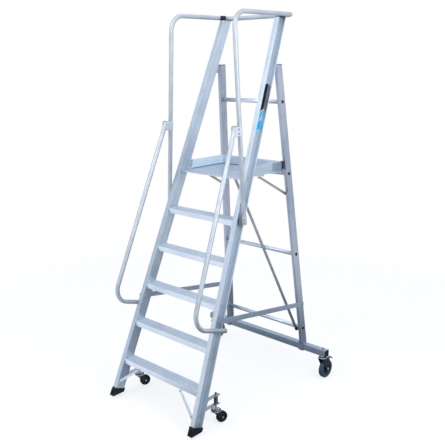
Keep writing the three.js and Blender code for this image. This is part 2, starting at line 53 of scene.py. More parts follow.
# The CAD's own dimensions, in millimetres. Its heights count from the soles of the front feet.
CENTRE_Y = 730
LIFT = 20
STILE_FOOT_X = 451
STILE_TAPER = 0.057
STILE_RAKE = 0.399
STILE_FLANGE = 38
STILE_DEPTH = 90.9
WEB_INSET = 35
TREADS = 5
RISE = 283.3
DECK_TOP = 1700
TOE_FACE = 313.6
LEG_TOP = 2486
LEG_TOP_X = 296.6
LEG_TOP_Y = 1098
LEG_SPLAY = 0.0543
LEG_RAKE = 0.0959
LEG_WIDTH = 25
LEG_DEPTH = 65
RUNG_RADIUS = 16
RUNG_HEIGHTS = (2217, 1670, 1015, 374)
TUBE_RADIUS = 16.5
TUBE_OFFSET = 17.1
POST_Y = 624
BAR_TOP = 238
BAR_FRONT = 1315
STEM = (423, 271)
KING = (603, 1349)
FRONT_SWIVEL = math.radians(-18)
FRONT_TRAIL, FRONT_RADIUS = 46, 42
REAR_TRAIL, REAR_RADIUS = 42, 75
SPRING_LOW, SPRING_HIGH, SPRING_TRAVEL = 142.6, 199.4, 20
FRONT_RACE, STEM_FOOT, BRACKET_TOP = 80, 90, 204.4
REAR_RACE, REAR_HEAD = 163, 172.4


def outer_x(z):
    return STILE_FOOT_X - STILE_TAPER * z


def inner_x(z):
    return outer_x(z) - STILE_FLANGE


def web_x(z):
    """Outer face of a stile's web."""
    return outer_x(z) - WEB_INSET


def rail_x(z):
    return outer_x(z) + TUBE_OFFSET


def front_y(z):
    return STILE_RAKE * z


def leg_x(z):
    return LEG_TOP_X + LEG_SPLAY * (LEG_TOP - z)


def leg_y(z):
    return LEG_TOP_Y + LEG_RAKE * (LEG_TOP - z)


def side_brace_x(y):
    """Outer face of a side brace."""
    return 415.6 - 0.00933 * (y - 300)


def knee_brace_x(z):
    """Inner face of a knee brace."""
    return 306 + 0.0775 * (1687.65 - z)


def at(x, y, z):
    """A point of the CAD drawing, in the row frame in metres."""
    return Vector((x, y - CENTRE_Y, z + LIFT)) / 1000


def rectangle(x0, y0, x1, y1):
    return (x0, y0), (x1, y0), (x1, y1), (x0, y1)


# ---- Materials ------------------------------------------------------------------------------


class Nodes:
    """A node tree; its methods add nodes and return their outputs."""

    def __init__(self, tree):
        self.tree = tree

    def add(self, kind, links=None, values=None, **settings):
        node = self.tree.nodes.new(kind)
        for key, value in settings.items():
            setattr(node, key, value)
        for key, value in (values or {}).items():
            node.inputs[key].default_value = value
        for key, output in (links or {}).items():
            self.tree.links.new(output, node.inputs[key])
        return node

    def spread(self, value, low, high, to_low=0.0, to_high=1.0):
        limits = {"From Min": low, "From Max": high, "To Min": to_low, "To Max": to_high}
        return self.add("ShaderNodeMapRange", {"Value": value}, limits).outputs[0]

    def blend(self, factor, first, second):
        """Colour between two colours or colour outputs."""
        node = self.add("ShaderNodeMix", {"Factor": factor}, data_type="RGBA")
        for socket, colour in (("A", first), ("B", second)):
            target = [i for i in node.inputs if i.name == socket and i.type == "RGBA"][0]
            if isinstance(colour, tuple):
                target.default_value = (*colour, 1)
            else:
                self.tree.links.new(colour, target)
        return [o for o in node.outputs if o.type == "RGBA"][0]

    def ramp(self, factor, steps):
        """Colour from (position, colour) pairs in rising order."""
        node = self.add("ShaderNodeValToRGB", {"Fac": factor})
        stops = node.color_ramp.elements
        for stop, (position, colour) in zip(stops, (steps[0], steps[-1])):
            stop.position = position
            stop.color = (*colour, 1)
        for position, colour in steps[1:-1]:
            stops.new(position).color = (*colour, 1)
        return node.outputs["Color"]

    def along(self, vector, direction):
        """How far a vector reaches along a direction."""
        links, values = {0: vector}, {1: direction}
        return self.add("ShaderNodeVectorMath", links, values, operation="DOT_PRODUCT").outputs["Value"]

    def camera_ray(self):
        return self.add("ShaderNodeLightPath").outputs["Is Camera Ray"]


class Paint(Nodes):
    """A material round one principled shader."""

    def __init__(self, name, roughness=0.5, metallic=0.0, **sockets):
        self.material = bpy.data.materials.new(name)
        self.material.use_nodes = True
        super().__init__(self.material.node_tree)
        self.shader = self.tree.nodes["Principled BSDF"]
        self.shader.inputs["Roughness"].default_value = roughness
        self.shader.inputs["Metallic"].default_value = metallic
        for socket, value in sockets.items():
            self.shader.inputs[socket.replace("_", " ")].default_value = value
        self.place = self.add("ShaderNodeTexCoord").outputs["Object"]

    def drive(self, socket, output):
        self.tree.links.new(output, self.shader.inputs[socket])

    def mapped(self, scale, rotation):
        turned = self.add("ShaderNodeMapping", {"Vector": self.place}, {"Rotation": rotation})
        return self.add("ShaderNodeMapping", {"Vector": turned.outputs[0]}, {"Scale": scale}).outputs[0]

    def noise(self, scale, detail=3.0, rough=0.55, vector=None):
        return self.add(
            "ShaderNodeTexNoise",
            {"Vector": vector or self.place},
            {"Scale": scale, "Detail": detail, "Roughness": rough},
        ).outputs["Fac"]

    def maths(self, operation, first, second):
        node = self.add("ShaderNodeMath", operation=operation)
        for i, value in enumerate((first, second)):
            if isinstance(value, (int, float)):
                node.inputs[i].default_value = value
            else:
                self.tree.links.new(value, node.inputs[i])
        return node.outputs[0]

    def total(self, *shares):
        """Sum of (output, weight) pairs."""
        parts = [self.maths("MULTIPLY", output, weight) for output, weight in shares]
        result = parts[0]
        for part in parts[1:]:
            result = self.maths("ADD", result, part)
        return result

    def bump(self, height, strength, distance):
        values = {"Strength": strength, "Distance": distance}
        self.drive("Normal", self.add("ShaderNodeBump", {"Height": height}, values).outputs[0])


def aluminium(name, grain, dark=(0.49, 0.565, 0.64), light=(0.66, 0.72, 0.785), rough=0.33, metal=0.85):
    """Mill-finished extrusion: die lines along the turned Z, faint clouding and a few scuffs."""
    paint = Paint(name, rough, metal)
    lines = paint.noise(1.0, 3.0, 0.6, paint.mapped((260, 260, 1.6), grain))
    broad = paint.noise(1.0, 2.0, 0.5, paint.mapped((42, 42, 0.7), grain))
    clouds = paint.noise(7.0, 4.0, 0.6)
    marks = paint.noise(1.0, 2.0, 0.7, paint.mapped((90, 60, 34), grain))
    scuffs = paint.spread(marks, 0.66, 0.74)
    tone = paint.total((lines, 0.35), (broad, 0.3), (clouds, 0.35))
    colour = paint.blend(paint.spread(tone, 0.38, 0.62), dark, light)
    worn = paint.blend(paint.maths("MULTIPLY", scuffs, 0.25), colour, (0.78, 0.82, 0.87))
    paint.drive("Base Color", worn)
    polish = paint.spread(lines, 0.3, 0.7, rough - 0.06, rough + 0.07)
    paint.drive("Roughness", paint.maths("ADD", polish, paint.maths("MULTIPLY", scuffs, 0.12)))
    paint.bump(lines, 0.12, 0.0002)
    return paint.material


def satin(name, dark, light, rough):
    """Drawn or cast aluminium without a grain: a fine satin, slightly clouded."""
    paint = Paint(name, rough, 0.85)
    clouds = paint.noise(9.0, 3.0, 0.5)
    fine = paint.noise(240.0, 2.0, 0.5)
    tone = paint.total((clouds, 0.92), (fine, 0.08))
    paint.drive("Base Color", paint.blend(paint.spread(tone, 0.35, 0.65), dark, light))
    paint.drive("Roughness", paint.spread(clouds, 0.3, 0.7, rough - 0.02, rough + 0.03))
    return paint.material


def plating(name, dark, light):
    """Zinc plating: a fine spangle over bright steel, duller in patches."""
    paint = Paint(name, 0.3, 1.0)
    cells = paint.add("ShaderNodeTexVoronoi", {"Vector": paint.place}, {"Scale": 260.0})
    patches = paint.noise(45.0, 4.0, 0.6)
    tone = paint.total((cells.outputs["Distance"], 0.4), (patches, 0.6))
    paint.drive("Base Color", paint.blend(paint.spread(tone, 0.25, 0.6), dark, light))
    paint.drive("Roughness", paint.spread(patches, 0.3, 0.7, 0.2, 0.42))
    paint.bump(patches, 0.08, 0.0003)
    return paint.material


def moulded(name, colour, dusty, rough, grain=900.0, patch=30.0, shine=0.25):
    """Moulded plastic or rubber: a fine grain, and dust that settles in patches."""
    paint = Paint(name, rough, 0.0, Specular_IOR_Level=shine)
    fine = paint.noise(grain, 2.0, 0.6)
    patches = paint.noise(patch, 5.0, 0.65)
    dust = paint.spread(patches, 0.4, 0.75, 0.0, 0.35)
    paint.drive("Base Color", paint.blend(dust, colour, dusty))
    paint.drive("Roughness", paint.spread(patches, 0.3, 0.7, rough - 0.08, rough + 0.1))
    paint.bump(fine, 0.25, 0.0002)
    return paint.material


def coated(name, colour, worn, rough=0.4):
    """Painted steel: slight orange peel, rubbed thin in a few spots."""
    paint = Paint(name, rough, 0.0, Coat_Weight=0.25, Coat_Roughness=0.25)
    peel = paint.noise(420.0, 2.0, 0.5)
    rub = paint.spread(paint.noise(85.0, 4.0, 0.7), 0.62, 0.74, 0.0, 0.5)
    paint.drive("Base Color", paint.blend(rub, colour, worn))
    paint.drive("Roughness", paint.spread(peel, 0.3, 0.7, rough - 0.07, rough + 0.07))
    paint.bump(peel, 0.15, 0.0003)
    return paint.material


# Turns that lay the die lines along a part
UP_STILE = (math.atan(STILE_RAKE), 0, 0)
UP_LEG = (-math.atan(LEG_RAKE), 0, 0)
ACROSS = (0, QUARTER, 0)
BACKWARDS = (QUARTER, 0, 0)

MATERIALS = {
    "stile": aluminium("stile_aluminium", UP_STILE, metal=0.6),
    # Darker copy of the stile aluminium for the left stile: painted shade on its inner web.
    "stile_painted_shade": aluminium(
        "stile_painted_shade_aluminium", UP_STILE, (0.46, 0.535, 0.615), (0.59, 0.655, 0.725), metal=0.7
    ),
    "cross": aluminium("cross_aluminium", ACROSS, (0.55, 0.62, 0.70), (0.70, 0.755, 0.82)),
    "deep": aluminium("deck_aluminium", ACROSS, (0.47, 0.53, 0.62), (0.60, 0.65, 0.74)),
    "side": aluminium("side_board_aluminium", BACKWARDS, (0.42, 0.51, 0.60), (0.55, 0.63, 0.71), 0.3),
    # Paler copy of the side board aluminium for the left toe board: painted light.
    "board": aluminium(
        "toe_board_painted_light_aluminium", BACKWARDS, (0.62, 0.76, 0.86), (0.76, 0.86, 0.93), metal=0.35
    ),
    "leg": aluminium("leg_aluminium", UP_LEG, (0.31, 0.345, 0.42), (0.43, 0.455, 0.54)),
    "bar": aluminium("bar_aluminium", ACROSS, (0.36, 0.42, 0.50), (0.50, 0.56, 0.64)),
    "flat": aluminium("flat_bar_aluminium", BACKWARDS, (0.36, 0.42, 0.49), (0.50, 0.56, 0.63)),
    "stay": aluminium("brace_aluminium", ACROSS, (0.30, 0.32, 0.33), (0.39, 0.41, 0.42)),
    "diagonal": aluminium("diagonal_aluminium", ACROSS, (0.21, 0.235, 0.265), (0.30, 0.325, 0.355)),
    # Dark aluminium for the toe boards' corner plates: painted shade.
    "shaded": aluminium("corner_painted_shade_aluminium", ACROSS, (0.22, 0.29, 0.37), (0.30, 0.38, 0.46)),
    "tube": satin("tube_aluminium", (0.44, 0.475, 0.52), (0.53, 0.56, 0.61), 0.56),
    "cast": satin("cast_aluminium", (0.60, 0.64, 0.70), (0.68, 0.71, 0.76), 0.42),
    "plated": plating("zinc_plate", (0.30, 0.34, 0.37), (0.56, 0.59, 0.61)),
    "dull": plating("dull_zinc_plate", (0.30, 0.32, 0.35), (0.46, 0.48, 0.51)),
    "black": moulded("black_plastic", (0.006, 0.008, 0.012), (0.025, 0.03, 0.038), 0.42),
    "rubber": moulded("black_rubber", (0.005, 0.008, 0.012), (0.02, 0.026, 0.034), 0.6, 700.0),
    "tyre": moulded("grey_tyre", (0.035, 0.06, 0.09), (0.09, 0.125, 0.16), 0.5, 600.0, 22.0),
    "hub": moulded("blue_black_hub", (0.002, 0.007, 0.028), (0.008, 0.018, 0.05), 0.4, shine=0.35),
    "steel": coated("black_coated_steel", (0.008, 0.012, 0.018), (0.07, 0.08, 0.09)),
    "spring": coated("blackened_spring", (0.035, 0.055, 0.075), (0.12, 0.14, 0.16), 0.35),
    "label_dark": moulded("label_black_vinyl", (0.004, 0.004, 0.006), (0.008, 0.009, 0.012), 0.75),
    "label_blue": moulded("label_blue_vinyl", (0.0, 0.40, 0.72), (0.005, 0.44, 0.76), 0.7),
    # Dark grey for the leg caps, and for the strips of painted shadow along the deck's joints.
    "cap_and_shadow_strip": moulded("grey_cap_and_shadow_strip", (0.05, 0.055, 0.065), (0.10, 0.11, 0.12), 0.6),
}


# ---- Pieces ---------------------------------------------------------------------------------


def axes_of(direction):
    """Two unit vectors square to a direction and to each other."""
    along = direction.normalized()
    upright = abs(along.z) > 0.99
    first = (along.orthogonal() if upright else along.cross(Z_AXIS)).normalized()
    return first, along.cross(first).normalized()


def circle(centre, first, second, radius, count, offset=0.0):
    """Points round a centre, in metres, in the plane of two unit vectors."""
    for k in range(count):
        a = 2 * math.pi * (k + offset) / count
        yield centre + (first * math.cos(a) + second * math.sin(a)) * radius


def mirrored(half):
    """Profile from the (radius, offset) pairs of its near half."""
    return (*half, *((radius, -offset) for radius, offset in reversed(half)))


class Shape:
    """Mesh under construction, in metres in the row frame."""

    def __init__(self):
        self.mesh = bmesh.new()

    def ring(self, points):
        return [self.mesh.verts.new(p) for p in points]

    def bridge(self, first, second):
        """Faces between two rings, either of which may be a single point."""
        if len(first) == 1 or len(second) == 1:
            tip, rim = (first[0], second) if len(first) == 1 else (second[0], first)
            for i, corner in enumerate(rim):
                self.mesh.faces.new((tip, corner, rim[(i + 1) % len(rim)]))
            return
        for i, corner in enumerate(first):
            j = (i + 1) % len(first)
            self.mesh.faces.new((corner, first[j], second[j], second[i]))

    def tube(self, points, radius, sides=24):
        """Round bar along points, closed at both ends."""
        rings = []
        side, _ = axes_of(points[1] - points[0])
        for i, point in enumerate(points):
            before = points[max(i - 1, 0)]
            after = points[min(i + 1, len(points) - 1)]
            along = (after - before).normalized()
            side = (side - along * side.dot(along)).normalized()
            rings.append(self.ring(circle(point, side, along.cross(side), radius, sides)))
        for first, second in zip(rings, rings[1:]):
            self.bridge(first, second)
        self.mesh.faces.new(reversed(rings[0]))
        self.mesh.faces.new(rings[-1])
        return self

    def lathe(self, origin, axis, profile, sides=48):
        """Turned solid from (radius, height) pairs in millimetres along axis from origin."""
        axis = Vector(axis).normalized()
        side, up = axes_of(axis)
        closed = profile[0] == profile[-1]
        rings = []
        for radius, height in profile[:-1] if closed else profile:
            centre = origin + axis * (height / 1000)
            if radius:
                rings.append(self.ring(circle(centre, side, up, radius / 1000, sides, 0.5)))
            else:
                rings.append(self.ring([centre]))
        if closed:
            rings.append(rings[0])
        for first, second in zip(rings, rings[1:]):
            self.bridge(first, second)
        if not closed:
            for rim in (rings[0], rings[-1]):
                if len(rim) > 1:
                    self.mesh.faces.new(rim)
        return self

    def prism(self, outline, place):
        """Extruded outline; place(u, v, t) puts a corner at t = 0 or 1."""
        near = self.ring(place(u, v, 0) for u, v in outline)
        far = self.ring(place(u, v, 1) for u, v in outline)
        self.bridge(near, far)
        self.mesh.faces.new(reversed(near))
        self.mesh.faces.new(far)
        return self

    def block(self, low, high):
        """Box between two points of the CAD drawing."""
        (x0, y0, z0), (x1, y1, z1) = low, high
        return self.prism(rectangle(x0, y0, x1, y1), lambda x, y, t: at(x, y, z0 + (z1 - z0) * t))

    def bolt(self, origin, axis, radius, height=4.0, washer=1.35, domed=True):
        """Washer under a domed or a six-sided head."""
        base = 1.1
        flange = ((0, 0), (radius * washer, 0), (radius * washer, base), (0, base))
        self.lathe(origin, axis, flange, 24)
        if domed:
            dome = [(radius * math.cos(a), base + height * math.sin(a)) for a in (0, 0.5, 0.9, 1.25)]
            return self.lathe(origin, axis, ((0, base), *dome, (0, base + height)), 24)
        top = height + 0.8
        head = ((0, base), (radius, base), (radius, height), (radius * 0.9, top), (0, top))
        return self.lathe(origin, axis, head, HEX)

    def washer(self, origin, axis, bore, radius, thickness, sides=32):
        profile = (*rectangle(bore, 0, radius, thickness), (bore, 0))
        return self.lathe(origin, axis, profile, sides)

    def nut(self, origin, axis, bore, radius, low, high, chamfer=1.0):
        """Six-sided nut between two heights, chamfered at the far one."""
        profile = (
            (bore, low), (radius, low), (radius, high - chamfer),
            (radius - chamfer, high), (bore, high), (bore, low),
        )
        return self.lathe(origin, axis, profile, HEX)

    def axle(self, hub, across, radius, half, blunt, sides):
        """Shaft through a wheel's hub, from -half to half along the axle line."""
        end = ((0, -half), (radius - blunt, -half), (radius, 1 - half))
        return self.lathe(hub, across, mirrored(end), sides)

    def piece(self, name, material, body="frame", slot=None, replaces=(), bevel=0.0, segments=2):
        bmesh.ops.recalc_face_normals(self.mesh, faces=self.mesh.faces)
        data = bpy.data.meshes.new(name)
        self.mesh.to_mesh(data)
        self.mesh.free()
        data.materials.append(MATERIALS[material])
        made = bpy.data.objects.new(name, data)
        bpy.context.scene.collection.objects.link(made)
        smooth(made, bevel, segments)
        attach(made, body)
        if replaces:
            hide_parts(*replaces)
        return made


def smooth(made, bevel, segments):
    """Rounds the edges and shades what is left of them."""
    made.data.polygons.foreach_set("use_smooth", [True] * len(made.data.polygons))
    if bevel:
        rounding = made.modifiers.new("Rounded edges", "BEVEL")
        rounding.width = bevel / 1000
        rounding.segments = segments
        rounding.limit_method = "ANGLE"
        rounding.angle_limit = math.radians(30)
        rounding.miter_outer = "MITER_ARC"
    shading = made.modifiers.new("Even shading", "WEIGHTED_NORMAL")
    shading.mode = "FACE_AREA_WITH_ANGLE"
    shading.weight = 60
    shading.keep_sharp = True


def finish_node(name, material, bevel=0.6, segments=2):
    """Better material and rounded edges for a CAD node whose shape is right."""
    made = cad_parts[name]
    made.data.materials.clear()
    made.data.materials.append(MATERIALS[material])
    merge = made.modifiers.new("Joined corners", "WELD")
    merge.merge_threshold = 0.00001
    smooth(made, bevel, segments)


def both(base, material, **settings):
    for label in SIDES:
        finish_node(f"{base}_{label}", material, **settings)


# The left stile's darker aluminium is painted shade.
finish_node("stile_left", "stile_painted_shade", bevel=0.9)
finish_node("stile_right", "stile", bevel=0.9)
both("foot", "rubber", bevel=2.2, segments=3)
both("stile_cap", "black", bevel=1.2, segments=3)
for i in range(1, TREADS + 1):
    finish_node(f"tread_{i}", "cross", bevel=0.5)
both("tread_brace", "cross", bevel=0.8)
finish_node("platform_deck", "deep", bevel=0.6)
# The left toe board's paler aluminium is painted light.
finish_node("toe_board_left", "board", bevel=1.0)
finish_node("toe_board_right", "side", bevel=1.0)
finish_node("toe_board_rear", "cross", bevel=1.0)
both("knee_brace", "stay", bevel=0.8)
both("rear_leg", "leg", bevel=1.2)
finish_node("diagonal_brace", "diagonal", bevel=0.8)
both("side_brace", "flat", bevel=0.9)
finish_node("base_bar", "bar", bevel=1.5, segments=3)
both("base_bar_cap", "black", bevel=1.5, segments=3)
both("handrail_clamp", "cast", bevel=1.6, segments=3)
both("post_saddle", "plated", bevel=0.6)
both("caster_bracket", "plated", bevel=0.8)
both("front_fork", "steel", bevel=0.9)
both("rear_fork", "steel", bevel=1.2)
both("brake_pedal", "steel", bevel=1.2)


# ---- Tubes ----------------------------------------------------------------------------------

POST_LOW, RAIL_HIGH, RAIL_BACK = 1390, 2846, 1285
RAIL_BENDS = (110, 60, 60, 110)
HANDRAIL_BEND = 120


def rounded(corners, radii, steps=18):
    """Polyline with arcs of the given radii, in millimetres, at its inner corners."""
    points = [corners[0]]
    for before, corner, after, radius in zip(corners, corners[1:], corners[2:], radii):
        towards = (corner - before).normalized()
        away = (after - corner).normalized()
        turn = towards.angle(away)
        axis = towards.cross(away).normalized()
        start = corner - towards * (radius / 1000 * math.tan(turn / 2))
        centre = start + axis.cross(towards) * (radius / 1000)
        for k in range(steps + 1):
            points.append(centre + Matrix.Rotation(turn * k / steps, 3, axis) @ (start - centre))
    points.append(corners[-1])
    return points


def tube_end(shape, point, direction, lip=2.4):
    """Domed black plug in a tube's open end."""
    rim, neck = TUBE_RADIUS + 0.6, TUBE_RADIUS - 3
    profile = (
        (0, -12), (neck, -12), (neck, -0.5), (rim, -0.5), (rim, lip), (neck, lip + 1.8), (0, lip + 2.4),
    )
    shape.lathe(point, direction, profile, 32)


def guardrail():
    """One tube up both posts and round the head of the ladder, with its plugs."""
    corners = [
        at(-rail_x(POST_LOW), POST_Y, POST_LOW), at(-rail_x(RAIL_HIGH), POST_Y, RAIL_HIGH),
        at(-rail_x(RAIL_HIGH), RAIL_BACK, RAIL_HIGH), at(rail_x(RAIL_HIGH), RAIL_BACK, RAIL_HIGH),
        at(rail_x(RAIL_HIGH), POST_Y, RAIL_HIGH), at(rail_x(POST_LOW), POST_Y, POST_LOW),
    ]
    rail = Shape().tube(rounded(corners, RAIL_BENDS), TUBE_RADIUS / 1000, 32)
    rail.piece("guardrail_tube", "tube", slot="tube", replaces=("guardrail",))
    plugs = Shape()
    tube_end(plugs, corners[0], corners[0] - corners[1], 6.0)
    tube_end(plugs, corners[-1], corners[-1] - corners[-2], 6.0)
    plugs.piece("guardrail_plugs", "black", slot="black_plastic", bevel=0.4)


def handrail(label, side):
    """Bent tube beside the steps, with its plugs."""
    top, bend, foot = (
        at(side * rail_x(z), y, z)
        for y, z in ((front_y(2075) - 251, 2075), (53.6, 763.4), (371, 665))
    )
    grab = Shape().tube(rounded([top, bend, foot], (HANDRAIL_BEND,)), TUBE_RADIUS / 1000, 32)
    grab.piece(f"handrail_tube_{label}", "tube", slot="tube", replaces=(f"handrail_{label}",))
    plugs = Shape()
    tube_end(plugs, top, top - bend)
    tube_end(plugs, foot, foot - bend)
    plugs.piece(f"handrail_plugs_{label}", "black", slot="black_plastic", bevel=0.4)


def rung(number, height):
    """Round tube between the rear legs."""
    reach = leg_x(height) - LEG_WIDTH - 0.4
    y = leg_y(height) + LEG_DEPTH / 2
    bar = Shape().tube([at(x, y, height) for x in (-reach, 0, reach)], RUNG_RADIUS / 1000, 32)
    bar.piece(f"rung_tube_{number}", "cross", slot="tube", replaces=(f"rear_rung_{number}",))


guardrail()
for label, side in SIDES.items():
    handrail(label, side)
for number, height in enumerate(RUNG_HEIGHTS, 1):
    rung(number, height)


# ---- Hardware on the fixed frame ------------------------------------------------------------

CLAMP_Y, CLAMP_FACE, SADDLE_FACE = 594, 38.5, 3.6
TREAD_RIVET_DROP = 21
TOE_TOP = 1770
DIAGONAL_FRONT = LEG_DEPTH / 2 - RUNG_RADIUS - 5.6


def rung_plugs(label, side, out):
    """Domed plugs where the rungs come through the leg."""
    plugs = Shape()
    for height in RUNG_HEIGHTS:
        origin = at(side * leg_x(height), leg_y(height) + LEG_DEPTH / 2, height)
        plugs.lathe(origin, out, ((0, -1), (12.5, -1), (12.5, 2.2), (9.5, 3.8), (0, 4.2)), 28)
    plugs.piece(f"rung_plugs_{label}", "black", slot="black_plastic", bevel=0.4)


def leg_cap(label, side):
    """Cap over the leg's open top: a lid that stands past the walls, and a plug inside them."""
    cap = Shape()
    for past, low, high in ((1, 0.2, 5.5), (-2.8, -16, 0.4)):
        cap.block(
            (side * (LEG_TOP_X - LEG_WIDTH - past), LEG_TOP_Y - past, LEG_TOP + low),
            (side * (LEG_TOP_X + past), LEG_TOP_Y + LEG_DEPTH + past, LEG_TOP + high),
        )
    cap.piece(f"leg_cap_{label}", "cap_and_shadow_strip", slot="black_plastic", bevel=1.2, segments=3)


def stile_bolts(label, side, out):
    """Bolt heads on the inner face: brace and handrail below, deck above."""
    bolts = Shape()
    for y, z in ((324, 747), (300, 680), (690, 1675), (726, 1675)):
        bolts.bolt(at(side * inner_x(z), y, z), -out, 6.5, 4.5)
    bolts.piece(f"stile_bolts_{label}", "plated", slot="plated", bevel=0.3)


def stile_rivets(label, side, out):
    """Rivets through the web, two into each tread and three into the deck."""
    rivets = Shape()
    for i in range(1, TREADS + 1):
        z = RISE * i - TREAD_RIVET_DROP
        for across in (22, 66):
            rivets.bolt(at(side * web_x(z), front_y(z) + across, z), out, 4.6, 2.6)
    z = DECK_TOP - 4
    for across in (16, 44, 72):
        rivets.bolt(at(side * web_x(z), front_y(z) + across, z), out, 5.5, 3.0)
    rivets.piece(f"stile_rivets_{label}", "plated", slot="plated", bevel=0.2)


def rail_bolts(label, side, out):
    """Bolts of the handrail's clamp and of the guardrail's saddle."""
    bolts = Shape()
    for z in (2030, 2060):
        bolts.bolt(at(side * (outer_x(z) + CLAMP_FACE), CLAMP_Y, z), out, 5.6, 4.0, domed=False)
    for z in (1404, 1432):
        for y in (POST_Y - 24, POST_Y + 24):
            bolts.bolt(at(side * (outer_x(z) + SADDLE_FACE), y, z), out, 4.2, 3.0)
    bolts.piece(f"rail_bolts_{label}", "dull", slot="plated", bevel=0.25)


def brace_bolts(label, side, out):
    """Bolts at the ends of the side brace and of the knee brace."""
    bolts = Shape()
    for y, z in ((320, 741.3), (1326, 585.3)):
        bolts.bolt(at(side * side_brace_x(y), y, z), out, 7.0, 5.0, domed=False)
    for y, z in ((884, 1676), (1214, 1503)):
        bolts.bolt(at(side * knee_brace_x(z), y, z), -out, 4.5, 2.5)
    bolts.piece(f"brace_bolts_{label}", "dull", slot="plated", bevel=0.3)


def toe_board_trim(label, side, out):
    """Corner plate in painted shade, edge strips, front plate and rivets of one side toe board."""

    def on_face(thickness):
        return lambda y, z, t: at(side * (TOE_FACE + thickness * t), y, z)

    # The corner plate's dark colour is painted shade.
    corner = Shape().prism(rectangle(1040, DECK_TOP + 2.5, 1150, TOE_TOP - 3), on_face(1.4))
    corner.piece(f"toe_corner_{label}", "shaded", slot="extrusion", bevel=0.6)
    edge = Shape()
    edge.block((side * 287.6, 1165.5, DECK_TOP + 0.6), (side * 315.4, 1168.5, TOE_TOP))
    edge.prism(rectangle(1154.5, DECK_TOP + 0.8, 1161, TOE_TOP), on_face(2))
    edge.prism(rectangle(1137, TOE_TOP - 5.4, 1161, TOE_TOP), on_face(2))
    edge.piece(f"toe_end_cap_{label}", "black", slot="black_plastic", bevel=0.6)
    front = Shape().prism(
        rectangle(287.9, DECK_TOP + 0.6, 313.7, TOE_TOP - 1.2),
        lambda x, z, t: at(side * x, front_y(z) + STILE_DEPTH + 0.5 + t, z),
    )
    front.piece(f"toe_front_plate_{label}", "side", slot="extrusion", bevel=0.3)
    rivets = Shape()
    for y, z in ((1060, 1720), (1060, 1750), (1128, 1735)):
        rivets.bolt(at(side * (TOE_FACE + 1.4), y, z), out, 4.2, 2.4)
    rivets.piece(f"toe_rivets_{label}", "plated", slot="plated", bevel=0.2)


def king_nut(label, side):
    """Nut and end of the rear caster's king bolt, on top of the base bar."""
    nut = Shape()
    x, y = side * KING[0], KING[1]
    nut.bolt(at(x, y, BAR_TOP), Z_AXIS, 9.5, 9.0, 1.4, domed=False)
    nut.tube([at(x, y, BAR_TOP + 6), at(x, y, BAR_TOP + 15)], 0.005, 20)
    nut.piece(f"king_nut_{label}", "dull", slot="plated", bevel=0.4)


def cheek_bolts(label, side):
    """Bolts through the base bar into the foot of the rear leg."""
    bolts = Shape()
    centre = leg_x(BAR_TOP) - LEG_WIDTH / 2
    for x in (centre - 13, centre + 13):
        bolts.bolt(at(side * x, BAR_FRONT, 212), FORWARD, 5.5, 4.0, domed=False)
    bolts.piece(f"cheek_bolts_{label}", "dull", slot="plated", bevel=0.3)


def foot_ribs(label, side):
    """Ribs on the front and on the outer face of the rubber foot."""
    ribs = Shape()
    front, width = ((-6.2, 4), (-8.2, 4), (-8.4, 10), (5.6, 46), (8.6, 46)), 4
    for inset in (34, 24, 14, 4):
        ribs.prism(front, lambda y, z, t: at(side * (outer_x(z) - inset + width * t), y, z))
    flank, height, pitch = ((0, 6), (9, 6), (14, 24), (5, 24)), 1.6, 18
    for k in range(5):
        start = 8 + pitch * k
        ribs.prism(
            flank, lambda y, z, t: at(side * (outer_x(z) + height * (1 + t)), start + y, z)
        )
    ribs.piece(f"foot_ribs_{label}", "rubber", slot="rubber", bevel=0.7)


def deck_shadow_strips():
    """Dark strips of painted shadow along the joints between the deck and the boards round it."""
    shadow_strips = Shape()
    section = ((0, 0), (3.4, 0), (0, 4.2))
    front, rear, bottom = 778, 1139, DECK_TOP + 0.2
    for side in SIDES.values():
        shadow_strips.prism(
            section,
            lambda u, v, t: at(side * (288.2 - u), front + (rear - front) * t, bottom + v),
        )
    shadow_strips.prism(section, lambda u, v, t: at(-284 + 568 * t, rear + 0.6 - u, bottom + v))
    # These strips are painted shadow in the joints.
    shadow_strips.piece("deck_shadow_strips", "cap_and_shadow_strip", slot="black_plastic")


def diagonal_end():
    """Moulded end of the diagonal over the lowest rung."""
    profile = (
        (0, -5), (13, -5), (13, 0.2), (16, 0.2), (16, 8), (14, 11.5), (9, 13.5), (0, 14),
    )
    end = Shape().lathe(at(364, leg_y(364) + DIAGONAL_FRONT, 364), FORWARD, profile, 40)
    end.piece("diagonal_end", "black", slot="black_plastic", bevel=0.8)


def stay_bolts():
    """Bolts of the diagonal on its rungs and of the braces under the first tread."""
    bolts = Shape()
    upper, middle = (at(x, leg_y(z) + DIAGONAL_FRONT, z) for x, z in ((-252, 1670), (52.8, 1015)))
    bolts.bolt(upper, FORWARD, 6.5, 5.0, domed=False)
    bolts.bolt(middle, FORWARD, 5.5, 4.0)
    for side in SIDES.values():
        for x, z in ((inner_x(112) - 14, 112), (233, 234)):
            bolts.bolt(at(side * x, front_y(z) + 5.9, z), FORWARD, 5.0, 3.0)
    bolts.piece("stay_bolts", "dull", slot="plated", bevel=0.3)


for label, side in SIDES.items():
    out = Vector((side, 0, 0))
    rung_plugs(label, side, out)
    leg_cap(label, side)
    stile_bolts(label, side, out)
    stile_rivets(label, side, out)
    rail_bolts(label, side, out)
    brace_bolts(label, side, out)
    toe_board_trim(label, side, out)
    king_nut(label, side)
    cheek_bolts(label, side)
    foot_ribs(label, side)
deck_shadow_strips()
diagonal_end()
stay_bolts()


# ---- Ribs and label on the stiles' webs -----------------------------------------------------


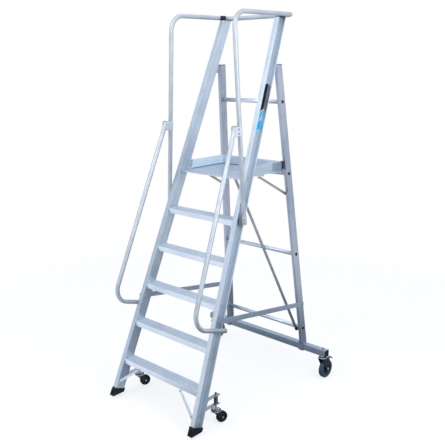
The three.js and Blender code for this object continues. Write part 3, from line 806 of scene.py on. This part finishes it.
def web_ribs(label, side):
    """Fine extruded ribs up the outer face of a stile's web."""
    ribs = Shape()
    for across in (2.5, 86.0):
        ribs.prism(
            rectangle(across, 78, across + 1.8, 2740),
            lambda u, z, t: at(side * (web_x(z) - 0.4 + 1.3 * t), front_y(z) + u, z),
        )
    ribs.piece(f"stile_ribs_{label}", "tube", slot="extrusion", bevel=0.3)


def label_block(name, material, outline):
    """Plain block of the right stile's label; the outline runs across the web and up it."""
    block = Shape().prism(
        outline, lambda u, z, t: at(web_x(z) + 0.15 + 0.5 * t, front_y(z) + u, z)
    )
    block.piece(name, material, slot="black_plastic")


for label, side in SIDES.items():
    web_ribs(label, side)
label_block("label_dark_block", "label_dark", ((12, 2352), (88, 2352), (88, 2178), (12, 2142)))
label_block("label_blue_wedge", "label_blue", ((20, 2132), (88, 2164), (60, 2094)))
label_block("label_blue_block", "label_blue", ((12, 2074), (88, 2096), (88, 2036), (12, 2014)))


# ---- Casters --------------------------------------------------------------------------------


class Caster:
    """Frame of reference of one caster: x across the wheel, y along its trail, z up."""

    def __init__(self, side, centre, turn=0.0):
        self.centre = (side * centre[0], centre[1])
        self.turn = Matrix.Rotation(turn, 3, "Z")
        self.across = self.turn @ Vector((1, 0, 0))

    def __call__(self, x, y, z):
        p = self.turn @ Vector((x, y, 0))
        return at(self.centre[0] + p.x, self.centre[1] + p.y, z)

    def helix(self, radius, low, high, turns, steps):
        """Points of a coil round the swivel axis, with a number of steps in each turn."""
        count = turns * steps
        for k in range(count + 1):
            a = 2 * math.pi * k / steps
            yield self(radius * math.cos(a), radius * math.sin(a), low + (high - low) * k / count)


def wheel_section(half):
    """Closed section of a wheel from the (radius, offset) pairs of its near half."""
    return (*mirrored(half), half[0])


def front_wheel(label, place, hub):
    """Grooved tyre on a dished hub."""
    body = f"front_wheel_{label}"
    r = FRONT_RADIUS
    tread = (
        (27, -12), (28.5, -14.4), (36, -15), (40, -13.2), (r - 0.4, -9.5), (r, -5.2),
        (r - 1.6, -4.2), (r - 1.6, -2.6), (r, -1.6),
    )
    tyre = Shape().lathe(hub, place.across, wheel_section(tread), 64)
    tyre.piece(f"front_tyre_{label}", "rubber", body, "rubber", (f"front_wheel_{label}",), bevel=0.4)
    core = ((4.6, -16.6), (11, -16.6), (12, -15), (12.5, -11), (23, -9), (25, -12), (27.2, -12))
    centre = Shape().lathe(hub, place.across, wheel_section(core))
    centre.piece(f"front_hub_{label}", "hub", body, "black_plastic", bevel=0.5)


def front_swivel(label, place, hub):
    """Axle bolt through the fork's cheeks, and the ball race over the fork."""
    body = f"front_swivel_{label}"
    cheek = 20.5
    axle = Shape().axle(hub, place.across, 4, 26.5, 0.6, 24)
    for way in (-1, 1):
        base = hub + place.across * (way * cheek / 1000)
        axle.washer(base, place.across * way, 4.1, 8.5, 1.2, 28)
        axle.nut(base, place.across * way, 4.1, 7, 1.2, 5, 0.8)
    axle.piece(f"front_axle_bolt_{label}", "plated", body, "plated", (f"front_axle_{label}",), bevel=0.3)
    profile = (
        (29, -3.5), (36.6, -2), (38, 1.5), (38, 6), (36.6, 9.2), (28.5, 9.4), (28.5, -3.4), (29, -3.5),
    )
    race = Shape().lathe(place(0, 0, FRONT_RACE), Z_AXIS, profile, 56)
    race.piece(f"front_race_{label}", "plated", body, "plated", bevel=0.6)


def front_stem(label, place):
    """Stem from the race up through the spring and the bracket, with its nut and thread."""
    body = f"front_stem_{label}"
    profile = (
        (0, 0), (24, 0), (26, 1.5), (26, 4), (22, 6.4), (12, 7.6), (8, 9.5), (6, 13),
        (6, 47), (16, 47.4), (16, 51.8), (6, 52.4), (6, 114), (0, 114),
    )
    stem = Shape().lathe(place(0, 0, STEM_FOOT), Z_AXIS, profile)
    stem.washer(place(0, 0, BRACKET_TOP), Z_AXIS, 6.1, 12, 1.2)
    stem.nut(place(0, 0, BRACKET_TOP + 1.3), Z_AXIS, 6.1, 10.4, 0, 7.6)
    stem.piece(f"front_stem_pin_{label}", "plated", body, "plated", (f"caster_stem_{label}",), bevel=0.3)
    turns, pitch, foot = 7, 1.6, 213
    thread = Shape().tube(list(place.helix(5.9, foot, foot + turns * pitch, turns, 20)), 0.0006, 6)
    thread.piece(f"front_stem_thread_{label}", "steel", body, "plated")


def front_spring(label, place):
    """Coil between the bracket and the stem's collar."""
    low, high = SPRING_LOW, SPRING_HIGH
    wire, coil = 3.0, 12.5
    points = list(place.helix(coil, low + wire, high - wire, 8, 24))
    spring = Shape().tube(points, wire / 1000, 10)
    made = spring.piece(
        f"spring_coil_{label}", "spring", "frame", "spring_steel", (f"caster_spring_{label}",)
    )
    tuple(place(0, 0, high))
    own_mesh(made)


def rear_wheel(label, place, hub):
    """Smooth tyre on a dished hub with six spokes on each side."""
    body = f"rear_wheel_{label}"
    r = REAR_RADIUS
    tread = ((51, -15), (53, -18), (r - 8, -19), (r - 3, -17), (r - 0.9, -13), (r, -6.65))
    tyre = Shape().lathe(hub, place.across, wheel_section(tread), 80)
    tyre.piece(
        f"rear_tyre_{label}", "tyre", body, "tyre", (f"rear_wheel_{label}",), bevel=0.6, segments=3
    )
    disc = (
        (6.6, -20.6), (14.5, -20.6), (16, -18.5), (17, -13), (21, -11), (36, -11),
        (40, -14.5), (46, -16.5), (51.3, -15.2),
    )
    centre = Shape().lathe(hub, place.across, wheel_section(disc), 64)
    centre.piece(f"rear_hub_{label}", "hub", body, "black_plastic", bevel=0.6)
    spokes = Shape()
    for k in range(6):
        a = math.pi * k / 3
        u, v = math.cos(a), math.sin(a)
        for way in (-1, 1):
            spokes.prism(
                ((16, -2.2), (38, -1.6), (38, 1.6), (16, 2.2)),
                lambda r, s, t: hub
                + Vector((way * (10.5 + 2.6 * t), r * u - s * v, r * v + s * u)) / 1000,
            )
    spokes.piece(f"rear_spokes_{label}", "hub", body, "black_plastic", bevel=0.5)


def rear_swivel(label, place, hub):
    """Axle bolt through the fork's cheeks, and the ball race over the fork."""
    body = f"rear_swivel_{label}"
    cheek = 25.6
    axle = Shape().axle(hub, place.across, 6, 33, 0.8, 28)
    for way in (-1, 1):
        base = hub + place.across * (way * cheek / 1000)
        axle.washer(base, place.across * way, 6.1, 12, 1.5)
        axle.nut(base, place.across * way, 6.1, 9.8, 1.5, 7.2)
    axle.piece(f"rear_axle_bolt_{label}", "plated", body, "plated", (f"rear_axle_{label}",), bevel=0.4)
    profile = ((25, -4), (32, -3), (34.5, 0.5), (34.5, 5), (33, 8.6), (25, 8.8), (25, -4))
    race = Shape().lathe(place(0, 0, REAR_RACE), Z_AXIS, profile, 56)
    race.piece(f"rear_race_{label}", "plated", body, "plated", bevel=0.7)


def rear_head(label, place):
    """Pressed steel plate between the caster and the base bar."""
    profile = (
        (0, 0), (21, 0), (22, 2.5), (22, 5.5), (27, 6.4), (29.5, 8), (29.5, 10.6), (27, 12.9), (0, 12.9),
    )
    head = Shape().lathe(place(0, 0, REAR_HEAD), Z_AXIS, profile, 56)
    head.piece(f"rear_head_{label}", "plated", "frame", "plated", (f"swivel_plate_{label}",), bevel=0.5)


def brake_pedal(label, place):
    """Ribs across the pedal's slope and the plate over its pivot end."""
    body = f"brake_pedal_{label}"
    first, top, slope = 86, 150.9, 0.725
    ribs = Shape()
    for k in range(5):
        run = 5.6 * k
        ribs.prism(
            ((0, 0), (2.4, -1.7), (2.6, -0.1), (0.4, 1.4)),
            lambda y, z, t: place(-16 + 32 * t, first + run + y, top - slope * run + z),
        )
    ribs.piece(f"pedal_ribs_{label}", "steel", body, "black_steel", bevel=0.3)
    plate = Shape().prism(
        ((47.5, 145.2), (68, 154.2), (80, 155.3), (80, 156.8), (67.4, 155.8), (47.5, 147.0)),
        lambda y, z, t: place(-17.5 + 35 * t, y, z),
    )
    plate.piece(f"pedal_plate_{label}", "plated", body, "plated", bevel=0.4)


for label, side in SIDES.items():
    place = Caster(side, STEM, FRONT_SWIVEL)
    hub = place(0, FRONT_TRAIL, FRONT_RADIUS - LIFT)
    front_wheel(label, place, hub)
    front_swivel(label, place, hub)
    front_stem(label, place)
    front_spring(label, place)

    place = Caster(side, KING)
    hub = place(0, REAR_TRAIL, REAR_RADIUS - LIFT)
    rear_wheel(label, place, hub)
    rear_swivel(label, place, hub)
    rear_head(label, place)
    brake_pedal(label, place)


# ---- Stage, light and camera ----------------------------------------------------------------

WHITE = (1.0, 1.0, 1.0)
RIGHT_REAR = (0.68, 0.73, 0.0)


def emitter(name, position, target, size, power, colour):
    data = bpy.data.lights.new(name, "AREA")
    data.size = size
    data.energy = power
    data.color = colour
    lamp = bpy.data.objects.new(name, data)
    lamp.location = position
    lamp.rotation_euler = (Vector(target) - Vector(position)).to_track_quat("-Z", "Y").to_euler()
    bpy.context.scene.collection.objects.link(lamp)


def floor_material():
    """White to the camera; to everything else a floor with a dark band across it."""
    paint = Paint("studio_floor", 0.9)
    paint.drive("Base Color", paint.blend(paint.noise(3.0), (0.90, 0.91, 0.92), (0.92, 0.93, 0.94)))
    far = paint.add("ShaderNodeVectorMath", {0: paint.place}, operation="LENGTH").outputs["Value"]
    lit = paint.add("ShaderNodeEmission", values={"Color": (*WHITE, 1), "Strength": 1.0})
    near = paint.add("ShaderNodeMixShader", {
        "Fac": paint.spread(far, 0.5, 5.0, 0.7, 1.0),
        1: paint.shader.outputs[0],
        2: lit.outputs[0],
    })
    bands = paint.ramp(paint.spread(paint.along(paint.place, RIGHT_REAR), -3.0, 12.0), (
        (0.13, (1.10, 1.13, 1.20)),
        (0.17, (0.16, 0.21, 0.27)),
        (0.33, (0.16, 0.21, 0.28)),
        (0.45, (1.15, 1.20, 1.26)),
        (0.85, (0.62, 0.68, 0.76)),
    ))
    dim = paint.add("ShaderNodeEmission", {"Color": bands}, {"Strength": 1.0})
    shown = paint.add("ShaderNodeMixShader", {
        "Fac": paint.camera_ray(),
        1: dim.outputs[0],
        2: near.outputs[0],
    })
    end = paint.tree.nodes["Material Output"]
    paint.tree.links.new(shown.outputs[0], end.inputs["Surface"])
    return paint.material


def studio_floor():
    reach = 60
    data = bpy.data.meshes.new("floor")
    corners = [(x, y, 0) for x, y in rectangle(-reach, -reach, reach, reach)]
    data.from_pydata(corners, [], [(0, 1, 2, 3)])
    data.materials.append(floor_material())
    floor = bpy.data.objects.new("floor", data)
    bpy.context.scene.collection.objects.link(floor)


def studio_world():
    """White to the camera; to everything else a sky that brightens towards the right rear."""
    world = bpy.data.worlds.new("studio")
    bpy.context.scene.world = world
    world.use_nodes = True
    nodes = Nodes(world.node_tree)
    way = nodes.add("ShaderNodeTexCoord").outputs["Generated"]
    height = nodes.add("ShaderNodeSeparateXYZ", {0: way}).outputs["Z"]
    front = nodes.ramp(height, (
        (0.0, (0.60, 0.66, 0.75)),
        (0.15, (0.56, 0.63, 0.73)),
        (0.35, (0.66, 0.73, 0.84)),
        (0.95, (0.50, 0.57, 0.67)),
    ))
    back = nodes.ramp(height, (
        (0.0, (0.95, 0.99, 1.04)),
        (0.07, (1.65, 1.68, 1.71)),
        (0.18, (1.40, 1.44, 1.49)),
        (0.42, (0.55, 0.64, 0.74)),
        (0.95, (0.50, 0.57, 0.67)),
    ))
    sky = nodes.blend(nodes.spread(nodes.along(way, RIGHT_REAR), -0.3, 0.8), front, back)
    background = nodes.tree.nodes["Background"]
    nodes.tree.links.new(nodes.blend(nodes.camera_ray(), sky, WHITE), background.inputs["Color"])


def studio_camera(eye, target, lens, roll):
    data = bpy.data.cameras.new("camera")
    data.sensor_width = 36.0
    data.lens = lens
    camera = bpy.data.objects.new("camera", data)
    back = (eye - target).normalized()
    right = Z_AXIS.cross(back).normalized()
    up = back.cross(right)
    x_axis = right * math.cos(roll) + up * math.sin(roll)
    y_axis = up * math.cos(roll) - right * math.sin(roll)
    turn = Matrix((x_axis, y_axis, back)).transposed().to_4x4()
    camera.matrix_world = Matrix.Translation(eye) @ turn
    bpy.context.scene.collection.objects.link(camera)
    bpy.context.scene.camera = camera


studio_floor()
studio_world()
emitter("key", (-0.8, -5.2, 6.2), (0, 0, 1.3), size=4, power=230, colour=(1.0, 0.99, 0.97))
emitter("fill", (3.6, -0.6, 3.0), (0, 0, 1.9), size=2, power=75, colour=(0.95, 0.97, 1.0))
emitter("top", (0.5, 1.0, 6.5), (0, 0, 0), size=6, power=110, colour=WHITE)
studio_camera(
    eye=Vector((3.337, -3.495, 2.525)),
    target=Vector((0.0, 0.0863, 1.3214)),
    lens=52.54,
    roll=math.radians(-0.651),
)

bpy.context.scene.view_settings.view_transform = "Standard"
bpy.context.scene.view_settings.look = "None"
